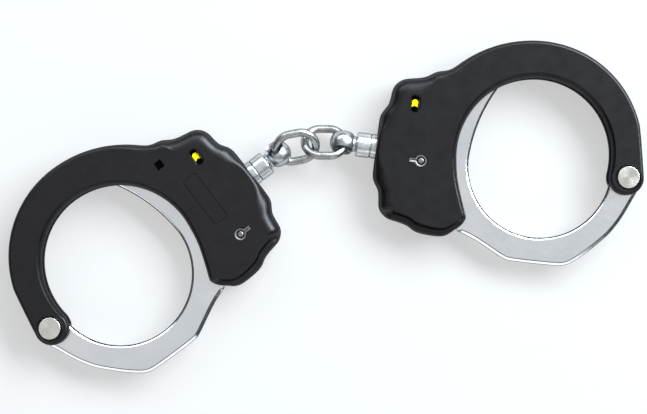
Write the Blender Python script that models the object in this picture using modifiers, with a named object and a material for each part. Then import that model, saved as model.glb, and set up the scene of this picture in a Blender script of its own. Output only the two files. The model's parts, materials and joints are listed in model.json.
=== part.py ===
"""Chain handcuffs: two identical cuffs, each on a swivel eye, joined by two oval links.

Each cuff is drawn once in its own frame, in millimetres. Its origin is the middle of the pivot rivet,
+X runs along the swivel towards the chain, +Y away from the bow and +Z out of the front face. The two
cuffs are then laid on the floor plane, the left one front up and the right one turned over.
"""

import math

import bmesh
import bpy
from mathutils import Matrix, Vector

MM = 0.001                    # one millimetre in metres

# How the pieces lie: heading of a cuff's +X, and where its pivot stands
CUFF_A = {"pivot": (-94.08, -41.21), "heading": 37.5, "turned_over": False}
CUFF_B = {"pivot": (102.82, 10.19), "heading": 172.95, "turned_over": True}

# Thicknesses, measured from a cuff's middle plane
FACE = 7.0                    # outer faces of the mouldings
PARTING = 0.15                # half the gap between front and rear moulding
PLATE_IN = 2.3                # inner face of a frame plate, so half the bow's slot
PLATE_OUT = 3.9
POCKET = 4.2                  # floor of the moulding's pocket for the plate
BOW_HALF = 1.9
LOCK_HALF = 1.7               # pawl and double lock slide
CASE_HALF = 1.95
GAP = 0.3                     # clearance between fixed neighbours
RUNNING = 0.2                 # clearance of a pin in what turns on it

# Bow and pivot
BOW_SWEEP = 62.8              # everything within this radius leaves the slot free
TOOTH_CREST = 62.0
TOOTH_ROOT = 60.9
TOOTH_PITCH = 2.7             # degrees
TOOTH_START = -24.0
TOOTH_COUNT = 19
TOOTH_FLANK = 0.335           # degrees taken by the steep flank
BOW_INNER = 54.45             # inner edge of the toothed stretch, from the pivot
BOW_SWELL = 0.03              # how far it swells inwards for each degree towards the tip
RIVET_SHANK = 2.5
RIVET_HEAD = 3.75
RIVET_HEAD_BASE = 5.4
RIVET_TOP = 6.9

# Swivel
COLLAR_START, COLLAR_END, COLLAR_R = 83.1, 93.2, 4.2
FLANGE_END, FLANGE_R = 84.6, 5.0
GROOVE_AT, GROOVE_HALF, GROOVE_DEPTH = 88.3, 0.35, 0.3
STEM_R, STEM_HEAD_R, STEM_HEAD_START, STEM_HEAD_END = 2.25, 3.2, 84.9, 87.1
NECK_R = 2.65                 # the stem's thicker root, between collar and ball
BALL_AT, BALL_R = 97.8, 4.5
EYE_R, EYE_MOUTH_R, EYE_MOUTH_AT = 2.25, 3.35, 2.85

# Lockset
PAWL_PIN = (65.6, -16.4)
PAWL_PIN_R = 1.1
PAWL_BOSS_R = 2.3
PAWL_TEETH = (8, 11)          # first and past-last bow tooth that the pawl fits
PAWL_MESH_GAP = 0.2
KEY_FRONT, KEY_REAR = (71.0, -14.1), (70.8, -3.1)
KEY_POST_R = 1.05
KEYHOLE_R, KEYHOLE_REACH, KEYHOLE_HALF_SLOT = 2.05, 4.0, 0.75
LINER_WALL = 0.5
LINER_TOP = 6.85
KEY_POST_TOP = 6.4
SLOT_AT, SLOT_HALF_WIDTH, SLOT_HALF_LENGTH = (75.1, 15.9), 1.6, 2.8
INDICATOR_FOOT, INDICATOR_TOP = 13.9, 17.5     # the pads' ends, along Y
INDICATOR_HALF_WIDTH, INDICATOR_HEIGHT = 1.05, 5.6
INDICATOR_BITE_R = 1.3
LEAF = 0.3                    # thickness of the leaf springs
LEAF_HALF = 1.1
RETAINER_HALF, RETAINER_TOP = 1.05, 3.4
WINDOW_AT, WINDOW_HALF = (63.4, 21.5), 1.35

# Chain
LINK_WIRE_R = 1.38
LINK_LENGTH, LINK_WIDTH = 16.4, 13.4
EYE_ROLL_A, EYE_ROLL_B = -50.95, 116.76     # how far each eye's hole is rolled about the swivel axis
LINK_1 = {"centre": (-10.29, 20.60, 8.17), "heading": 10.7, "climb": -0.91, "tilt": 30.42}
LINK_2 = {"centre": (-0.56, 22.25, 7.12), "heading": -0.91, "climb": 0.3, "tilt": -29.54}

COLLECTION = "handcuffs"
CUTTERS = "handcuffs_cutters"


# ---------------------------------------------------------------- outlines

def arc(cx, cy, radius, start, end, step=9):
    """Points on an arc from one angle to another, in degrees, both ends included."""
    count = max(2, round(abs(end - start) / step))
    angles = [math.radians(start + (end - start) * i / count) for i in range(count + 1)]
    return [(cx + radius * math.cos(a), cy + radius * math.sin(a)) for a in angles]


def polar(radius, degrees):
    """The point at a radius and an angle about the pivot."""
    a = math.radians(degrees)
    return radius * math.cos(a), radius * math.sin(a)


def mirrored(points):
    """The same points on the other side of the swivel axis, in reverse order."""
    return [(x, -y) for x, y in reversed(points)]


def grown(outline, by):
    """A closed counter-clockwise outline moved outwards, each corner mitred."""
    result = []
    for i, point in enumerate(outline):
        before = Vector(outline[i - 1])
        here = Vector(point)
        after = Vector(outline[(i + 1) % len(outline)])
        into, away = (here - before).normalized(), (after - here).normalized()
        normal = Vector((into.y + away.y, -into.x - away.x)).normalized()
        reach = by / max(0.4, normal.dot(Vector((into.y, -into.x))))
        result.append(tuple(here + normal * reach))
    return result


def circle(centre, radius, sides=24):
    """A round outline."""
    return arc(centre[0], centre[1], radius, 0, 360 - 360 / sides, 360 / sides)


def rectangle(centre, half_x, half_y):
    """A rectangular outline about its centre."""
    x, y = centre
    return [(x - half_x, y - half_y), (x + half_x, y - half_y),
            (x + half_x, y + half_y), (x - half_x, y + half_y)]


def oval(centre, half_width, half_length):
    """A slot with round ends, long along Y."""
    x, y = centre
    straight = half_length - half_width
    return arc(x, y + straight, half_width, 0, 180, 20) + arc(x, y - straight, half_width, 180, 360, 20)


def keyhole(centre, grow):
    """A round hole with a slot for the key's bit, which points to +X."""
    x, y = centre
    radius, half = KEYHOLE_R + grow, KEYHOLE_HALF_SLOT + grow
    corner = math.degrees(math.asin(half / radius))
    reach = x + KEYHOLE_REACH + grow
    return arc(x, y, radius, corner, 360 - corner, 20) + [(reach, y - half), (reach, y + half)]


def strip(path, thickness):
    """The outline of a bent leaf of even thickness along a path."""
    left, right = [], []
    for i, point in enumerate(path):
        before = Vector(path[max(i - 1, 0)])
        after = Vector(path[min(i + 1, len(path) - 1)])
        along = (after - before).normalized()
        side = Vector((-along.y, along.x)) * thickness / 2
        left.append(tuple(Vector(point) + side))
        right.append(tuple(Vector(point) - side))
    return right + left[::-1]


def ring_inner(inset):
    """Inner edge of a cheek, from the pivot over the top of the wrist opening to the housing."""
    return (arc(32.1, 3.93, 25.9 + inset, 188, 90)
            + arc(32.1, 2.83, 27.0 + inset, 90, -8)[1:])


def ring_outer(inset):
    """Outer edge of a cheek, from the housing back over the top towards the pivot."""
    return (arc(33.2, 0.55, 42.0 - inset, 46, 90)
            + arc(33.2, 5.45, 37.1 - inset, 90, 162)[1:])


def cheek_outline():
    """Silhouette of a moulding: pivot boss, ring and the lobed lock housing."""
    boss = arc(0.55, -0.25, 5.9, 172, 364, 16)
    lobes = [(86.4, 9.5), (86.0, 11.5), (84.9, 13.2), (83.8, 14.9), (83.36, 17.6), (83.2, 20.0),
             (82.3, 22.1), (79.9, 24.0), (77.4, 24.5), (75.1, 24.9), (73.2, 25.4), (71.8, 26.0),
             (70.5, 26.9)]
    toe = [(57.9, -7.0), (56.5, -11.3), (54.0, -18.0), (53.1, -20.0), (53.3, -21.3), (54.5, -23.4),
           (56.8, -25.3), (58.7, -27.1), (61.1, -28.0), (66.0, -27.9), (68.7, -27.6)]
    shoulder = [(69.1, 27.8), (67.6, 28.2), (66.0, 28.55), (64.3, 29.15)]
    return boss + ring_inner(0) + toe + mirrored(lobes) + lobes + shoulder + ring_outer(0)


def plate_outline():
    """Outline of the steel plate inside each moulding."""
    boss = arc(0.3, 0.0, 4.4, 172, 356, 20)
    toe = [(59.7, -7.0), (58.3, -11.6), (55.9, -17.3), (55.5, -20.2), (57.6, -23.2), (61.6, -25.5)]
    side = [(82.7, 10.5), (81.1, 14.5), (80.8, 19.8), (79.0, 21.9), (72.5, 22.9), (69.0, 24.9)]
    return boss + ring_inner(1.9) + toe + mirrored(side) + side + [(64.5, 26.2)] + ring_outer(2.4)


def lock_chamber_outline():
    """The hollow of the lockset case, open towards the bow."""
    return [(57.0, -20.3), (69.5, -20.3), (72.5, -18.9), (77.0, -18.4), (78.0, -14.8), (79.6, -9.5),
            (79.6, 9.5), (78.0, 14.0), (77.9, 19.6), (71.2, 19.6), (68.6, 17.5), (66.5, 15.5),
            (57.0, 15.5)]


def tooth_edge(first, last, shift, lift):
    """The toothed edge between two tooth numbers, by rising angle: steep flank first, then a slope."""
    points = []
    for number in range(first, last):
        start = TOOTH_START + number * TOOTH_PITCH - shift
        points.append(polar(TOOTH_ROOT + lift, start))
        points.append(polar(TOOTH_CREST + lift, start + TOOTH_FLANK))
    points.append(polar(TOOTH_ROOT + lift, TOOTH_START + last * TOOTH_PITCH - shift))
    return points


def bow_outline():
    """The single strand: eye, outer corners, teeth, tapered tip and the round inner edge."""
    eye = arc(0.0, 0.0, 5.2, 4, 180, 20)
    outer = [(-3.6, -5.5), (-2.5, -8.0), (0.0, -14.0), (3.0, -19.0), (5.0, -21.5), (10.0, -26.8),
             (14.5, -30.8), (17.0, -32.3), (19.5, -33.0), (36.5, -33.3), (39.0, -32.6), (44.0, -30.0),
             (50.0, -27.0), (55.3, -25.3)]
    teeth = tooth_edge(0, TOOTH_COUNT, 0, 0)
    tip = [polar(59.5, 30.5), polar(57.2, 32.5), polar(55.6, 33.0)]
    inner = [polar(BOW_INNER - a * BOW_SWELL, a) for a in range(32, 0, -4)]
    inner += arc(30.0, 0.2, 24.5, 360, 180)
    return eye + outer + teeth + tip + inner


def pawl_outline():
    """Lever from its pin up to three teeth that fit the bow's, with a shoulder for the double lock."""
    px, py = PAWL_PIN
    boss = arc(px, py, PAWL_BOSS_R, 170, 380, 25)
    back = [(66.9, -9.0), (66.8, 0.0), (67.0, 6.2), (69.2, 6.2), (69.2, 9.4), (66.0, 10.4), (62.9, 9.6)]
    shift = math.degrees(PAWL_MESH_GAP / TOOTH_CREST)
    past_flank = TOOTH_START + PAWL_TEETH[1] * TOOTH_PITCH + TOOTH_FLANK - shift
    teeth = [polar(TOOTH_CREST + PAWL_MESH_GAP, past_flank)]
    teeth += tooth_edge(*PAWL_TEETH, shift, PAWL_MESH_GAP)[::-1]
    belly = [(63.2, -4.4), (63.5, -10.5)]
    return boss + back + teeth + belly


# ---------------------------------------------------------------- building blocks

def principled(name, colour, metallic, roughness):
    """A plain material."""
    material = bpy.data.materials.get(name)
    if material is None:
        material = bpy.data.materials.new(name)
        material.use_nodes = True
        shader = material.node_tree.nodes["Principled BSDF"]
        shader.inputs["Base Color"].default_value = (*colour, 1.0)
        shader.inputs["Metallic"].default_value = metallic
        shader.inputs["Roughness"].default_value = roughness
        material.diffuse_color = (*colour, 1.0)
    return material


def collection(name):
    """The scene collection of that name."""
    found = bpy.data.collections.get(name)
    if found is None:
        found = bpy.data.collections.new(name)
        bpy.context.scene.collection.children.link(found)
    return found


def add_object(name, data, cutter=False):
    """Links an object into the model's collection, or a cutter into the cutters'."""
    obj = bpy.data.objects.new(name, data)
    collection(CUTTERS if cutter else COLLECTION).objects.link(obj)
    if cutter:
        obj.hide_render = True
        obj.display_type = "WIRE"
    return obj


def place(obj, parent, origin=(0.0, 0.0, 0.0)):
    """Parents a piece to its cuff, with its origin at a point of the cuff's frame in millimetres."""
    obj.parent = parent
    obj.location = Vector(origin) * MM
    return obj


def as_mesh(curve_object):
    """Turns a curve object into a mesh object with its caps welded on."""
    graph = bpy.context.evaluated_depsgraph_get()
    mesh = bpy.data.meshes.new_from_object(curve_object.evaluated_get(graph))
    weld = bmesh.new()
    weld.from_mesh(mesh)
    bmesh.ops.remove_doubles(weld, verts=weld.verts, dist=1e-7)
    weld.to_mesh(mesh)
    weld.free()
    name, place_now = curve_object.name, curve_object.matrix_world.copy()
    cutter = curve_object.hide_render
    bpy.data.objects.remove(curve_object, do_unlink=True)
    mesh.name = name
    obj = add_object(name, mesh, cutter)
    obj.matrix_world = place_now
    return obj


def prism(name, outline, low, high, origin=(0.0, 0.0), holes=(), cutter=False):
    """A flat outline extruded between two heights. The object's origin is at a point of the outline's
    plane."""
    curve = bpy.data.curves.new(name, "CURVE")
    curve.dimensions = "2D"
    curve.fill_mode = "BOTH"
    curve.extrude = (high - low) / 2 * MM
    for points in (outline, *holes):
        spline = curve.splines.new("POLY")
        spline.points.add(len(points) - 1)
        for slot, (x, y) in zip(spline.points, points):
            slot.co = ((x - origin[0]) * MM, (y - origin[1]) * MM, 0.0, 1.0)
        spline.use_cyclic_u = True
    obj = add_object(name, curve, cutter)
    bpy.context.view_layer.update()
    obj = as_mesh(obj)
    obj.data.transform(Matrix.Translation((0.0, 0.0, (high + low) / 2 * MM)))
    return obj


def soften_rim(obj, height, width, segments=1):
    """Bevels the edges of a prism that lie at one height."""
    rim = bmesh.new()
    rim.from_mesh(obj.data)
    edges = [e for e in rim.edges
             if len(e.link_faces) == 2
             and all(abs(v.co.z - height * MM) < 1e-6 for v in e.verts)
             and e.calc_face_angle() > math.radians(45)]
    bmesh.ops.bevel(rim, geom=edges, offset=width * MM, segments=segments, profile=0.5,
                    affect="EDGES", clamp_overlap=True)
    rim.to_mesh(obj.data)
    rim.free()


def turned(name, profile, steps=20, closed=False, cutter=False):
    """A turned piece. The profile is (radius, height) pairs that run down the outer side."""
    mesh = bpy.data.meshes.new(name)
    edges = [(i, i + 1) for i in range(len(profile) - 1)]
    if closed:
        edges.append((len(profile) - 1, 0))
    mesh.from_pydata([(r * MM, 0.0, h * MM) for r, h in profile], edges, [])
    obj = add_object(name, mesh, cutter)
    screw = obj.modifiers.new("turn", "SCREW")
    screw.steps = steps
    screw.render_steps = steps
    screw.use_merge_vertices = True
    screw.merge_threshold = 1e-6
    screw.use_smooth_shade = True
    return obj


def cut(obj, *cutters):
    """Takes each cutter's volume out of a piece."""
    for cutter in cutters:
        boolean = obj.modifiers.new(cutter.name, "BOOLEAN")
        boolean.operation = "DIFFERENCE"
        boolean.solver = "EXACT"
        boolean.object = cutter
    return obj


def join(obj, other):
    """Adds another volume to a piece."""
    boolean = obj.modifiers.new(other.name, "BOOLEAN")
    boolean.operation = "UNION"
    boolean.solver = "EXACT"
    boolean.object = other
    return obj


def paint(obj, material):
    """Gives a piece its material and shades its round faces smooth."""
    obj.data.materials.clear()
    obj.data.materials.append(material)
    if isinstance(obj.data, bpy.types.Mesh):
        obj.data.shade_smooth()
        obj.data.set_sharp_from_angle(angle=math.radians(35))
    return obj


POLYMER = ("polymer", (0.035, 0.037, 0.042), 0.0, 0.55)
CASE_POLYMER = ("case_polymer", (0.02, 0.02, 0.022), 0.0, 0.6)
INDICATOR = ("indicator_yellow", (0.90, 0.75, 0.02), 0.0, 0.45)
BRIGHT_STEEL = ("bright_steel", (0.68, 0.70, 0.71), 1.0, 0.28)
SATIN_STEEL = ("satin_steel", (0.55, 0.56, 0.57), 1.0, 0.4)
FRAME_STEEL = ("frame_steel", (0.35, 0.36, 0.37), 1.0, 0.45)
SPRING_STEEL = ("spring_steel", (0.45, 0.45, 0.47), 1.0, 0.35)


# ---------------------------------------------------------------- one cuff

def cuff_cutters(cuff, tag):
    """The hollows that both mouldings of a cuff share."""
    sweep = prism(f"cut_sweep_{tag}", circle((0, 0), BOW_SWEEP, 96), -PLATE_IN, PLATE_IN, cutter=True)
    pocket = prism(f"cut_pocket_{tag}", grown(plate_outline(), GAP), -POCKET, POCKET, cutter=True)
    hole, recess = RIVET_SHANK + GAP, RIVET_HEAD + GAP
    base, past = RIVET_HEAD_BASE - GAP, FACE + 1
    rivet = turned(f"cut_rivet_{tag}",
                   [(0, past), (recess, past), (recess, base), (hole, base),
                    (hole, -base), (recess, -base), (recess, -past), (0, -past)], cutter=True)
    wide, narrow = FLANGE_R + GAP, COLLAR_R + GAP
    collar = turned(f"cut_collar_{tag}",
                    [(0, COLLAR_START + 5), (narrow, COLLAR_START + 5), (narrow, FLANGE_END + GAP),
                     (wide, FLANGE_END + GAP), (wide, COLLAR_START - 1), (0, COLLAR_START - 1)],
                    cutter=True)
    collar.rotation_euler = (0, math.radians(90), 0)
    slot = prism(f"cut_slot_{tag}", oval(SLOT_AT, SLOT_HALF_WIDTH, SLOT_HALF_LENGTH), -8, 8,
                 cutter=True)
    tools = [sweep, pocket, rivet, collar, slot]
    for tool in tools:
        place(tool, cuff)
    return tools


def moulding(cuff, tag, side, tools):
    """Front (side 1) or rear (side -1) polymer moulding."""
    word = "front" if side > 0 else "rear"
    low, high = sorted((side * PARTING, side * FACE))
    shell = prism(f"overmold_{word}_{tag}", cheek_outline(), low, high)
    soften_rim(shell, side * FACE, 1.2)
    place(shell, cuff)
    cut(shell, *tools)
    key = KEY_FRONT if side > 0 else KEY_REAR
    low, high = sorted((side * 3.0, side * 8.0))
    keyway = prism(f"cut_key_{word}_{tag}", keyhole(key, 0.2), low, high, cutter=True)
    cut(shell, place(keyway, cuff))
    if side > 0:
        window = prism(f"cut_window_{tag}", rectangle(WINDOW_AT, WINDOW_HALF, WINDOW_HALF), low, high,
                       cutter=True)
        cut(shell, place(window, cuff))
    paint(shell, principled(*POLYMER))


def plate(cuff, tag, side):
    """Front or rear steel cheek plate with its holes."""
    word = "front" if side > 0 else "rear"
    own, other = (KEY_FRONT, KEY_REAR) if side > 0 else (KEY_REAR, KEY_FRONT)
    slot_centre = (SLOT_AT[0], 16.6)
    holes = [circle((0, 0), RIVET_SHANK + GAP), keyhole(own, -LINER_WALL),
             circle(other, KEY_POST_R + GAP, 12), circle(PAWL_PIN, PAWL_PIN_R + GAP, 12),
             oval(slot_centre, 1.3, 3.7)]
    if side > 0:
        holes.append(rectangle(WINDOW_AT, WINDOW_HALF, WINDOW_HALF))
    low, high = sorted((side * PLATE_IN, side * PLATE_OUT))
    steel = prism(f"frame_plate_{word}_{tag}", plate_outline(), low, high, holes=holes)
    place(steel, cuff)
    paint(steel, principled(*FRAME_STEEL))


def spacer(cuff, tag):
    """The steel band between the plates round three sides of the lockset."""
    outline = plate_outline()
    band = prism(f"frame_spacer_{tag}", outline, -2.0, 2.0)
    clear = prism(f"cut_spacer_sweep_{tag}", circle((0, 0), BOW_SWEEP + GAP, 96), -3, 3, cutter=True)
    seat = prism(f"cut_spacer_seat_{tag}", grown(outline, -1.6), -3, 3, cutter=True)
    place(band, cuff)
    cut(band, place(clear, cuff), place(seat, cuff))
    paint(band, principled(*FRAME_STEEL))


def lockset_case(cuff, tag):
    """The removable lockset's C-shaped case."""
    case = prism(f"lockset_case_{tag}", grown(plate_outline(), -1.9), -CASE_HALF, CASE_HALF,
                 holes=[rectangle(WINDOW_AT, WINDOW_HALF, WINDOW_HALF)])
    clear = prism(f"cut_case_sweep_{tag}", circle((0, 0), BOW_SWEEP + 2 * GAP, 96), -3, 3, cutter=True)
    chamber = prism(f"cut_case_chamber_{tag}", lock_chamber_outline(), -3, 3, cutter=True)
    place(case, cuff)
    cut(case, place(clear, cuff), place(chamber, cuff))
    paint(case, principled(*CASE_POLYMER))


def bow(cuff, tag):
    """The single strand that turns on the rivet."""
    strand = prism(f"bow_{tag}", bow_outline(), -BOW_HALF, BOW_HALF,
                   holes=[circle((0, 0), RIVET_SHANK + RUNNING)])
    place(strand, cuff)
    paint(strand, principled(*BRIGHT_STEEL))


def pivot_rivet(cuff, tag):
    """Shank with a head at each face."""
    shank, head, base, top = RIVET_SHANK, RIVET_HEAD, RIVET_HEAD_BASE, RIVET_TOP
    rivet = turned(f"pivot_rivet_{tag}",
                   [(0, top), (head - 0.5, top), (head, top - 0.5), (head, base), (shank, base),
                    (shank, -base), (head, -base), (head, 0.5 - top), (head - 0.5, -top), (0, -top)])
    place(rivet, cuff)
    paint(rivet, principled(*BRIGHT_STEEL))


def swivel_collar(cuff, tag):
    """Fixed collar, held by its flange inside the mouldings."""
    start, end, radius, chamfer = COLLAR_START, COLLAR_END, COLLAR_R, 0.5
    bore, counterbore = STEM_R + RUNNING, STEM_HEAD_R + RUNNING
    shoulder = STEM_HEAD_END + GAP
    profile = [(radius - chamfer, end), (radius, end - chamfer), (radius, GROOVE_AT + GROOVE_HALF),
               (radius - GROOVE_DEPTH, GROOVE_AT), (radius, GROOVE_AT - GROOVE_HALF),
               (radius, FLANGE_END), (FLANGE_R, FLANGE_END), (FLANGE_R, start), (counterbore, start),
               (counterbore, shoulder), (bore, shoulder), (bore, end)]
    collar = turned(f"swivel_collar_{tag}", profile, closed=True)
    place(collar, cuff)
    collar.rotation_euler = (0, math.radians(90), 0)
    paint(collar, principled(*SATIN_STEEL))


def swivel_eye(cuff, tag, eye_roll):
    """Ball eye with its stem and captive head. The eye's hole is rolled about the swivel axis."""
    neck = 180 - math.degrees(math.asin(NECK_R / BALL_R))
    ball = [(BALL_R * math.sin(math.radians(a)), BALL_R * math.cos(math.radians(a)))
            for a in (*range(0, 136, 15), neck)]
    stem = [(radius, along - BALL_AT)
            for radius, along in ((NECK_R, COLLAR_END + GAP), (STEM_R, COLLAR_END + GAP),
                                  (STEM_R, STEM_HEAD_END), (STEM_HEAD_R, STEM_HEAD_END),
                                  (STEM_HEAD_R, STEM_HEAD_START), (0, STEM_HEAD_START))]
    eye = turned(f"swivel_eye_{tag}", ball + stem)
    place(eye, cuff, (BALL_AT, 0, 0))
    eye.rotation_euler = (0, math.radians(90), 0)
    past = BALL_R + 0.4
    flare = [(EYE_R + (EYE_MOUTH_R - EYE_R) * (h / EYE_MOUTH_AT) ** 2, h) for h in (past, 2.9, 2.0, 1.0)]
    mirror = [(radius, -h) for radius, h in reversed(flare)]
    profile = [(0, past), *flare, (EYE_R, 0), *mirror, (0, -past)]
    hole = turned(f"cut_eye_{tag}", profile, cutter=True)
    place(hole, cuff, (BALL_AT, 0, 0))
    hole.rotation_euler = (math.radians(eye_roll), 0, 0)
    cut(eye, hole)
    paint(eye, principled(*SATIN_STEEL))


def pawl(cuff, tag):
    """The ratchet pawl, with its origin on its pin, and the pin and leaf spring."""
    lever = prism(f"pawl_{tag}", pawl_outline(), -LOCK_HALF, LOCK_HALF, origin=PAWL_PIN,
                  holes=[circle(PAWL_PIN, PAWL_PIN_R + RUNNING, 16)])
    place(lever, cuff, (*PAWL_PIN, 0))
    paint(lever, principled(*SATIN_STEEL))
    pin = turned(f"pawl_pin_{tag}", [(0, PLATE_OUT), (PAWL_PIN_R, PLATE_OUT),
                                     (PAWL_PIN_R, -PLATE_OUT), (0, -PLATE_OUT)], steps=16)
    place(pin, cuff, (*PAWL_PIN, 0))
    paint(pin, principled(*SATIN_STEEL))
    path = [(71.8, 19.1), (71.3, 16.5), (70.5, 13.0), (69.8, 9.2), (70.3, 7.8)]
    leaf = prism(f"pawl_spring_{tag}", strip(path, LEAF), -LEAF_HALF, LEAF_HALF)
    place(leaf, cuff)
    paint(leaf, principled(*SPRING_STEEL))


def double_lock(cuff, tag):
    """The double lock slide, whose raised pads show in the slot of each face, and its detent leaf."""
    x = SLOT_AT[0]
    base = [(73.2, -1.0), (76.9, -1.0), (76.9, 18.4), (73.2, 18.4), (73.2, 5.7), (69.6, 5.7),
            (69.6, 3.7), (73.2, 3.7)]
    slide = prism(f"double_lock_{tag}", base, -LOCK_HALF, LOCK_HALF, origin=SLOT_AT)
    place(slide, cuff, (*SLOT_AT, 0))
    half = INDICATOR_HALF_WIDTH
    outline = ([(x - half, INDICATOR_FOOT), (x + half, INDICATOR_FOOT)]
               + arc(x, INDICATOR_TOP - half, half, 0, 180, 20))
    pad = prism(f"add_pad_{tag}", outline, -INDICATOR_HEIGHT, INDICATOR_HEIGHT, cutter=True)
    join(slide, place(pad, cuff))
    bite = prism(f"cut_bite_{tag}", circle((x, INDICATOR_FOOT), INDICATOR_BITE_R, 16), -7, 7,
                 cutter=True)
    cut(slide, place(bite, cuff))
    paint(slide, principled(*INDICATOR))
    path = [(79.2, 9.0), (78.6, 7.0), (77.5, 4.0), (78.6, 1.0), (79.2, -1.0)]
    leaf = prism(f"double_lock_spring_{tag}", strip(path, LEAF), -LEAF_HALF, LEAF_HALF)
    place(leaf, cuff)
    paint(leaf, principled(*SPRING_STEEL))


def key_posts(cuff, tag):
    """A post for the key from each side, and the steel liner of each keyhole."""
    for side, word, centre in ((1, "front", KEY_FRONT), (-1, "rear", KEY_REAR)):
        top, foot, chamfer = KEY_POST_TOP, -PLATE_OUT, 0.2
        post = turned(f"key_post_{word}_{tag}",
                      [(0, top), (KEY_POST_R - chamfer, top), (KEY_POST_R, top - chamfer),
                       (KEY_POST_R, foot), (0, foot)], steps=16)
        place(post, cuff, (*centre, 0))
        if side < 0:
            post.rotation_euler = (math.radians(180), 0, 0)
        paint(post, principled(*SATIN_STEEL))
        low, high = sorted((side * POCKET, side * LINER_TOP))
        liner = prism(f"keyhole_liner_{word}_{tag}", keyhole(centre, 0), low, high,
                      holes=[keyhole(centre, -LINER_WALL)])
        place(liner, cuff)
        paint(liner, principled(*SATIN_STEEL))


def lockset_retainer(cuff, tag):
    """Square pin behind the front window that holds the lockset in the frame."""
    pin = prism(f"lockset_retainer_{tag}", rectangle(WINDOW_AT, RETAINER_HALF, RETAINER_HALF),
                -CASE_HALF, RETAINER_TOP)
    place(pin, cuff)
    paint(pin, principled(*CASE_POLYMER))


def build_cuff(tag, layout, eye_roll):
    """One whole cuff, standing on its layout."""
    cuff = bpy.data.objects.new(f"cuff_{tag}", None)
    collection(COLLECTION).objects.link(cuff)
    cuff.location = Vector((*layout["pivot"], FACE)) * MM
    turn = Matrix.Rotation(math.radians(layout["heading"]), 3, "Z")
    if layout["turned_over"]:
        turn = turn @ Matrix.Rotation(math.pi, 3, "X")
    cuff.rotation_euler = turn.to_euler()
    tools = cuff_cutters(cuff, tag)
    for side in (1, -1):
        moulding(cuff, tag, side, tools)
        plate(cuff, tag, side)
    spacer(cuff, tag)
    lockset_case(cuff, tag)
    bow(cuff, tag)
    pivot_rivet(cuff, tag)
    swivel_collar(cuff, tag)
    swivel_eye(cuff, tag, eye_roll)
    pawl(cuff, tag)
    double_lock(cuff, tag)
    key_posts(cuff, tag)
    lockset_retainer(cuff, tag)


# ---------------------------------------------------------------- chain

def chain_link(name, centre, heading, climb, tilt):
    """An oval link of round wire: where its middle is, which way it points, how steeply it climbs and
    how far it is tilted about its length."""
    bend = LINK_WIDTH / 2 - LINK_WIRE_R
    straight = (LINK_LENGTH - LINK_WIDTH) / 2
    route = arc(straight, 0, bend, -90, 90, 15) + arc(-straight, 0, bend, 90, 270, 15)
    curve = bpy.data.curves.new(name, "CURVE")
    curve.dimensions = "3D"
    curve.bevel_depth = LINK_WIRE_R * MM
    curve.bevel_resolution = 4
    spline = curve.splines.new("POLY")
    spline.points.add(len(route) - 1)
    for slot, (x, y) in zip(spline.points, route):
        slot.co = (x * MM, y * MM, 0.0, 1.0)
    spline.use_cyclic_u = True
    link = add_object(name, curve)
    turn = (Matrix.Rotation(math.radians(heading), 4, "Z")
            @ Matrix.Rotation(math.radians(-climb), 4, "Y")
            @ Matrix.Rotation(math.radians(tilt), 4, "X"))
    link.matrix_world = Matrix.Translation(Vector(centre) * MM) @ turn
    bpy.context.view_layer.update()
    paint(as_mesh(link), principled(*SATIN_STEEL))


def build():
    """The whole object."""
    for obj in list(bpy.data.objects):
        bpy.data.objects.remove(obj, do_unlink=True)
    build_cuff("a", CUFF_A, EYE_ROLL_A)
    build_cuff("b", CUFF_B, EYE_ROLL_B)
    chain_link("chain_link_1", **LINK_1)
    chain_link("chain_link_2", **LINK_2)


build()
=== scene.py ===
"""Looks for the chain handcuffs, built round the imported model.

Lengths are in millimetres, apart from the studio's, which are in metres. A cuff's pieces are drawn in
that cuff's own frame: its origin is the middle of the pivot rivet, +X runs along the swivel towards the
chain, +Y away from the bow and +Z out of the front face. A chain link is drawn flat, long along its
own +X.
"""

import json
import math
from collections import namedtuple

import bmesh
import bpy
import numpy as np
from mathutils import Matrix, Vector

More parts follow.
